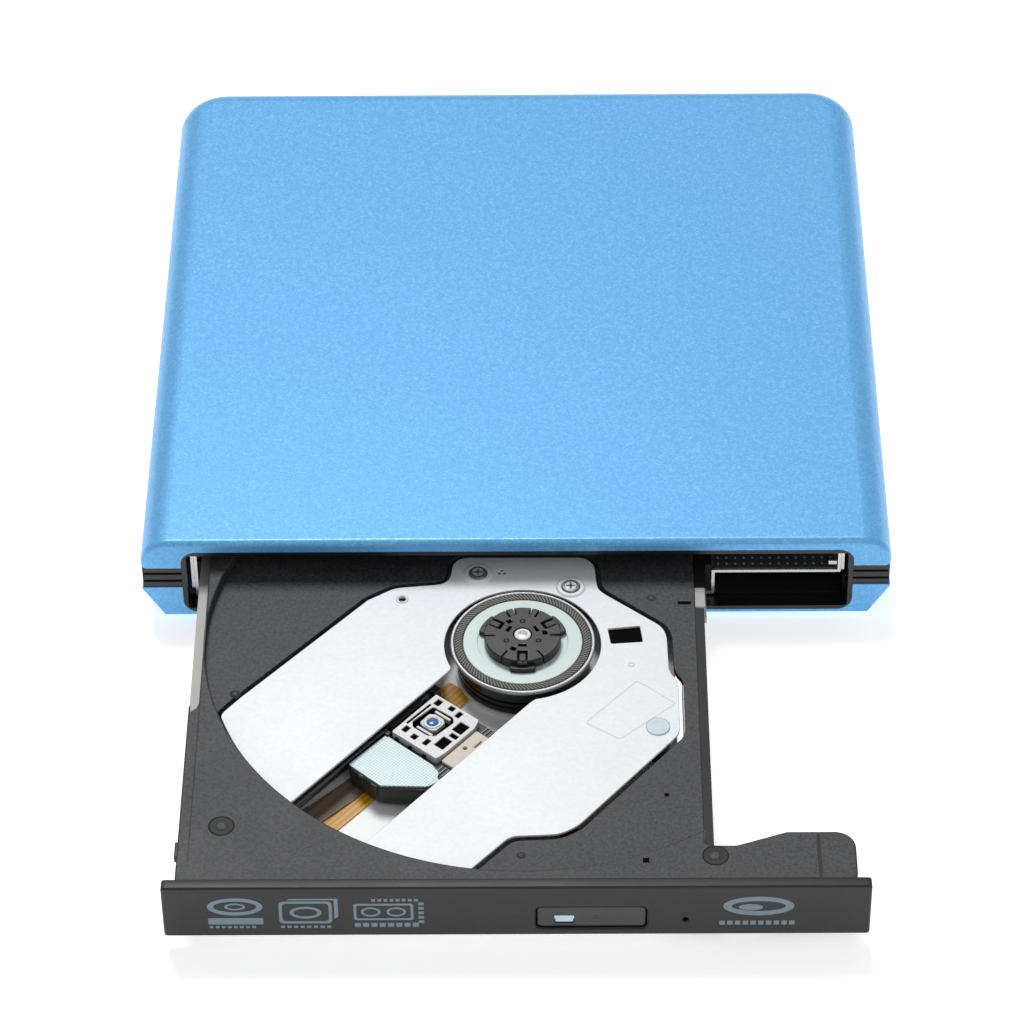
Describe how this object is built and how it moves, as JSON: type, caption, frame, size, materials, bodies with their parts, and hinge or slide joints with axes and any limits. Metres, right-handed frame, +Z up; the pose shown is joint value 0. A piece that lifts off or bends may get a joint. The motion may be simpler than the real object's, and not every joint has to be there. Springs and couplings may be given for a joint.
{
  "type": "external optical drive",
  "caption": "Slim external optical disc drive with a part-open tray, disc spindle and moving laser pickup in a metallic blue housing.",
  "frame": {"origin": "centre of the housing on its flat underside plane; the rubber feet stand 1 mm below it", "axes": "+X to the right seen from the tray's front, +Y from the tray towards the housing's back, +Z up"},
  "size_m": [0.146, 0.2325, 0.02],
  "materials": {
    "shell_blue": "metallic satin",
    "band_black": "satin",
    "frame_black": "satin",
    "foot_rubber": "matte",
    "screw_steel": "bright",
    "board_green": "gloss",
    "chip_black": "matte",
    "case_steel": "bright",
    "liner_dark": "dimpled",
    "guide_plastic": "satin",
    "rail_steel": "bright",
    "tray_grey": "fine texture",
    "bezel_black": "fine texture",
    "led_clear": "clear",
    "plate_white": "satin",
    "frame_dark": "satin",
    "bush_rubber": "matte",
    "motor_black": "satin",
    "copper_coil": "enamelled",
    "ring_rubber": "ribbed",
    "table_pale": "satin",
    "hub_black": "satin",
    "shaft_steel": "bright",
    "sled_cast": "cast",
    "cover_pale": "satin",
    "side_beige": "satin",
    "magnet_dark": "satin",
    "lens_blue": "coated",
    "lens_white": "satin",
    "flex_orange": "satin",
    "flex_brown": "satin"
  },
  "bodies": {
    "housing": {"top_shell": "shell_blue", "bottom_shell": "shell_blue", "middle_band": "band_black", "front_frame": "frame_black", "rubber_feet": "foot_rubber", "shell_screws": "screw_steel", "bridge_board": "board_green", "bridge_chips": "chip_black", "usb_socket": "case_steel", "bridge_connector": "chip_black", "drive_plug_board": "board_green", "drive_base_cover": "case_steel", "drive_top_cover": "case_steel", "shelf_liner": "liner_dark", "cover_screws": "screw_steel", "left_rail_guide": "guide_plastic", "right_rail_guide": "guide_plastic", "tray_flex": "flex_brown"},
    "left_rail_body": {"left_rail": "rail_steel"},
    "right_rail_body": {"right_rail": "rail_steel"},
    "tray_body": {"tray": "tray_grey", "front_bezel": "bezel_black", "led_window": "led_clear", "tray_bottom_plate": "plate_white", "main_board": "board_green", "main_board_chips": "chip_black", "tray_screws": "screw_steel", "switch_board": "board_green", "eject_switch": "chip_black", "latch_coil": "copper_coil", "traverse_plate": "plate_white", "traverse_frame": "frame_dark", "damper_bushes": "bush_rubber", "motor_base": "case_steel", "motor_stator": "copper_coil", "main_guide_shaft": "shaft_steel", "far_guide_shaft": "shaft_steel", "shaft_holders": "hub_black", "stepper_motor": "motor_black", "motor_flex": "flex_orange", "sled_flex_brown": "flex_brown", "sled_flex_orange": "flex_orange"},
    "rotor": {"rotor_can": "motor_black", "turntable": "table_pale", "grip_ring": "ring_rubber", "centring_hub": "hub_black", "spindle_shaft": "shaft_steel"},
    "claw_a": {"claw_front": "hub_black"},
    "claw_b": {"claw_right": "hub_black"},
    "claw_c": {"claw_left": "hub_black"},
    "sled": {"pickup_base": "sled_cast", "actuator_frame": "rail_steel", "pickup_cover": "cover_pale", "pickup_side_plate": "side_beige", "actuator_magnets": "magnet_dark"},
    "lens": {"lens_holder": "lens_white", "objective_lens": "lens_blue"},
    "screw": {"lead_screw": "shaft_steel"},
    "button": {"eject_button": "bezel_black"},
    "latch": {"latch_lever": "hub_black"}
  },
  "joints": [
    {"name": "tray_slide", "type": "slide", "parent": "housing", "child": "tray_body", "axis": [0, -1, 0], "range_m": [-0.0858, 0.0437]},
    {"name": "left_rail_slide", "type": "slide", "parent": "housing", "child": "left_rail_body", "axis": [0, -1, 0], "range_m": [-0.0429, 0.02185]},
    {"name": "right_rail_slide", "type": "slide", "parent": "housing", "child": "right_rail_body", "axis": [0, -1, 0], "range_m": [-0.0429, 0.02185]},
    {"name": "spindle_spin", "type": "hinge", "parent": "tray_body", "child": "rotor", "pos_m": [0.00137, -0.09335, 0.0119], "axis": [0, 0, 1], "continuous": true},
    {"name": "sled_slide", "type": "slide", "parent": "tray_body", "child": "sled", "axis": [-0.6428, -0.766, 0], "range_m": [-0.0025, 0.031]},
    {"name": "lead_screw_spin", "type": "hinge", "parent": "tray_body", "child": "screw", "pos_m": [0.0023, -0.12024, 0.0072], "axis": [-0.6428, -0.766, 0], "range_deg": [-320, 3740]},
    {"name": "claw_front_slide", "type": "slide", "parent": "rotor", "child": "claw_a", "axis": [0, -1, 0], "range_m": [-0.0004, 0], "stiffness_N_per_m": 400, "springref_m": 0.0004},
    {"name": "claw_right_slide", "type": "slide", "parent": "rotor", "child": "claw_b", "axis": [0.866, 0.5, 0], "range_m": [-0.0004, 0], "stiffness_N_per_m": 400, "springref_m": 0.0004},
    {"name": "claw_left_slide", "type": "slide", "parent": "rotor", "child": "claw_c", "axis": [-0.866, 0.5, 0], "range_m": [-0.0004, 0], "stiffness_N_per_m": 400, "springref_m": 0.0004},
    {"name": "lens_focus", "type": "slide", "parent": "sled", "child": "lens", "axis": [0, 0, 1], "range_m": [-0.0003, 0.0003], "stiffness_N_per_m": 100},
    {"name": "eject_press", "type": "slide", "parent": "tray_body", "child": "button", "axis": [0, 1, 0], "range_m": [0, 0.0006], "stiffness_N_per_m": 900, "springref_m": -0.0006},
    {"name": "latch_swing", "type": "hinge", "parent": "tray_body", "child": "latch", "pos_m": [0.0285, -0.1374, 0.0047], "axis": [0, 0, 1], "range_deg": [0, 12]}
  ],
  "couplings": [
    {"joint": "left_rail_slide", "follows": "tray_slide", "ratio": 0.5},
    {"joint": "right_rail_slide", "follows": "tray_slide", "ratio": 0.5},
    {"joint": "lead_screw_spin", "follows": "sled_slide", "rad_per_m": 2094.4}
  ]
}
